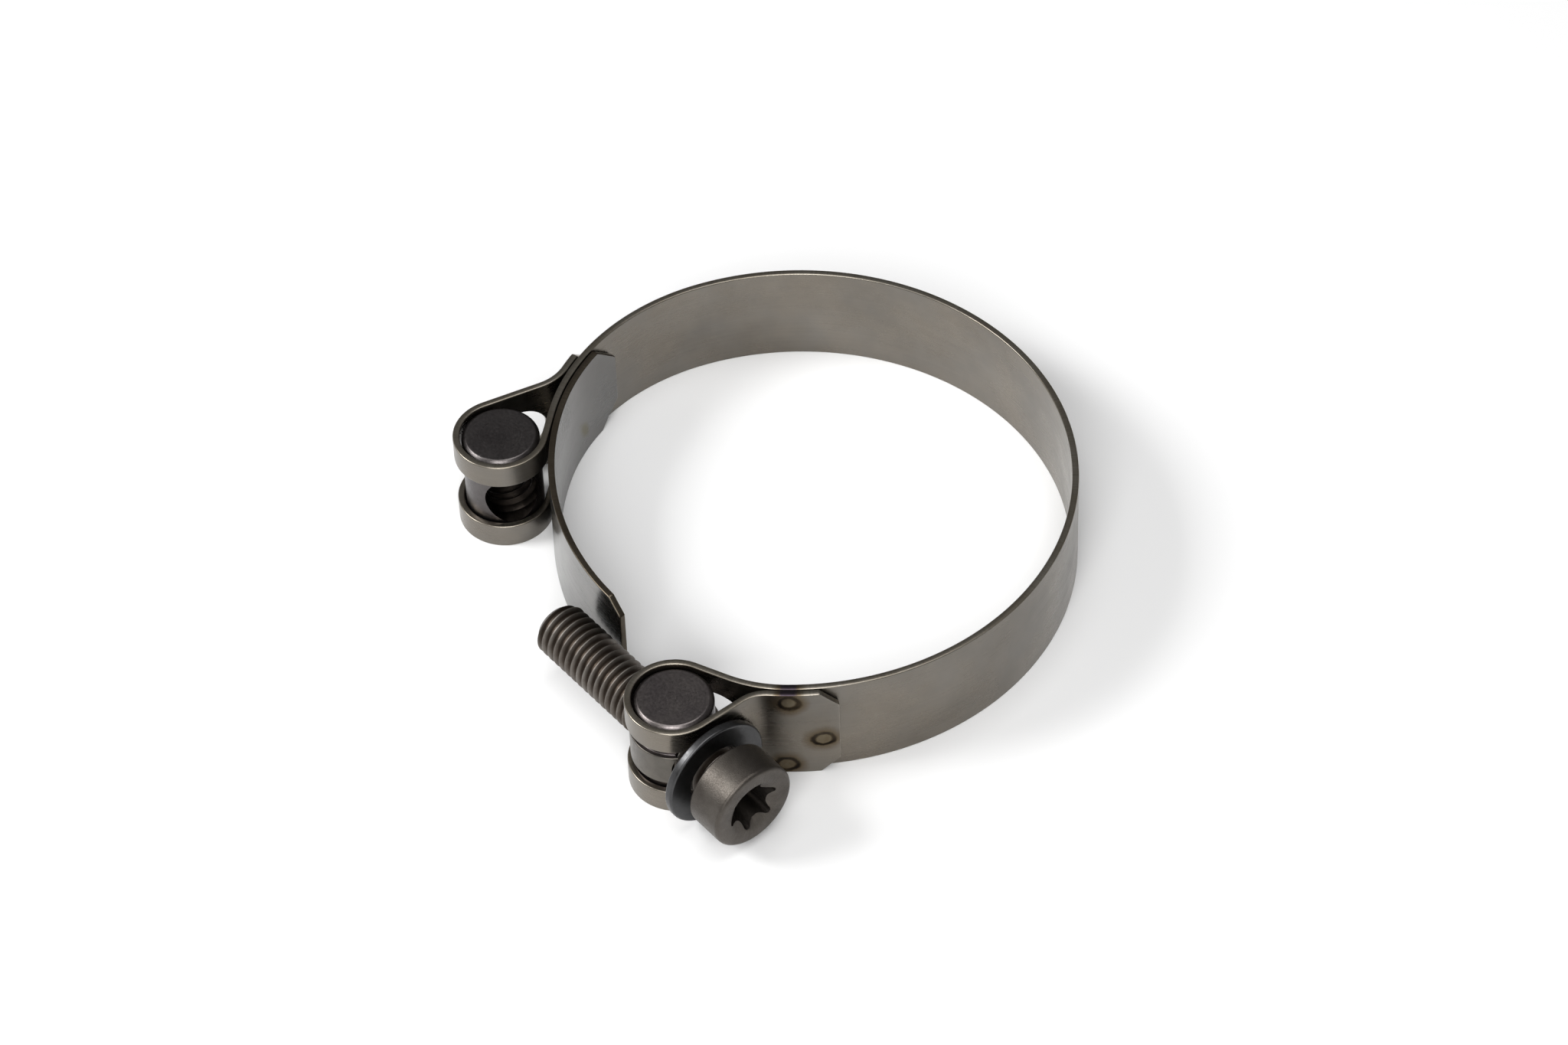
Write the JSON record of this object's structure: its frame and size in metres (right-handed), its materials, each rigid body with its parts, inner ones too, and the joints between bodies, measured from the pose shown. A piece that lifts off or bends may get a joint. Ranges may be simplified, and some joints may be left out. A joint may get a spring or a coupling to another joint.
{
  "type": "hose clamp",
  "caption": "Trunnion hose clamp: open steel band ring with folded, welded ends round cross pins, a curved bridge under the gap, and a washered six-lobe socket screw that closes it.",
  "frame": {"origin": "centre of the bounding box's lower face: the clamp lies on one edge of its band, as it does on a table", "axes": "+Z along the hose's axis, across the band's width; +X from the rear trunnion towards the screw's head, parallel to the line between the trunnions; +Y from the gap towards the back of the ring"},
  "size_m": [0.0852, 0.0814, 0.016],
  "materials": {
    "band_steel": "satin rolled stainless strip with faint warm blotches and handling marks, and bright sheared edges",
    "bridge_steel": "smooth satin stainless strip, cooler than the band",
    "pin_steel": "turned steel with a dark film on its ends",
    "screw_steel": "fine-grained matte head and a dark thread with bright crests",
    "washer_steel": "plain turned washer with a bright rim"
  },
  "bodies": {
    "band_back": {"band_back_length": "band_steel"},
    "band_rear": {"band_rear_length": "band_steel"},
    "rear_fold": {"band_rear_fold": "band_steel", "bridge_root": "bridge_steel"},
    "bridge_free": {"bridge_tip": "bridge_steel"},
    "band_front": {"band_front_length": "band_steel"},
    "front_fold": {"band_front_fold": "band_steel"},
    "front_pin": {"front_trunnion": "pin_steel"},
    "washer": {"washer": "washer_steel"},
    "screw": {"screw": "screw_steel"},
    "rear_pin": {"rear_trunnion": "pin_steel"}
  },
  "joints": [
    {"name": "ring_close", "type": "hinge", "parent": "band_back", "child": "band_rear", "pos_m": [-0.01627, 0.03811, 0.008], "axis": [0, 0, 1], "range_deg": [-2.5, 5.7], "stiffness_Nm_per_rad": 4},
    {"name": "rear_bend", "type": "hinge", "parent": "band_rear", "child": "rear_fold", "pos_m": [-0.04169, 0.00819, 0.008], "axis": [0, 0, 1], "range_deg": [-2.5, 5.7]},
    {"name": "bridge_bend", "type": "hinge", "parent": "rear_fold", "child": "bridge_free", "pos_m": [-0.02071, -0.02753, 0.008], "axis": [0, 0, 1], "range_deg": [-3.75, 8.55]},
    {"name": "front_bend", "type": "hinge", "parent": "band_back", "child": "band_front", "pos_m": [0.02221, 0.03063, 0.008], "axis": [0, 0, -1], "range_deg": [-2.5, 5.7]},
    {"name": "front_fold_bend", "type": "hinge", "parent": "band_front", "child": "front_fold", "pos_m": [0.03457, -0.00664, 0.008], "axis": [0, 0, -1], "range_deg": [-2.5, 5.7]},
    {"name": "front_trunnion_swivel", "type": "hinge", "parent": "front_fold", "child": "front_pin", "pos_m": [0.02507, -0.03126, 0.008], "axis": [0, 0, 1], "range_deg": [-1, 3]},
    {"name": "screw_slide", "type": "slide", "parent": "front_pin", "child": "washer", "axis": [0.9755, 0.2199, 0], "range_m": [0, 0.031]},
    {"name": "screw_spin", "type": "hinge", "parent": "washer", "child": "screw", "pos_m": [0.02507, -0.03126, 0.008], "axis": [0.9755, 0.2199, 0], "continuous": true},
    {"name": "rear_trunnion_turn", "type": "hinge", "parent": "rear_fold", "child": "rear_pin", "pos_m": [-0.02943, -0.03126, 0.008], "axis": [0, 0, 1], "continuous": true}
  ],
  "couplings": [
    {"joint": "rear_bend", "follows": "ring_close", "ratio": 1},
    {"joint": "front_bend", "follows": "ring_close", "ratio": 1},
    {"joint": "front_fold_bend", "follows": "ring_close", "ratio": 1},
    {"joint": "bridge_bend", "follows": "ring_close", "ratio": 1.5}
  ]
}
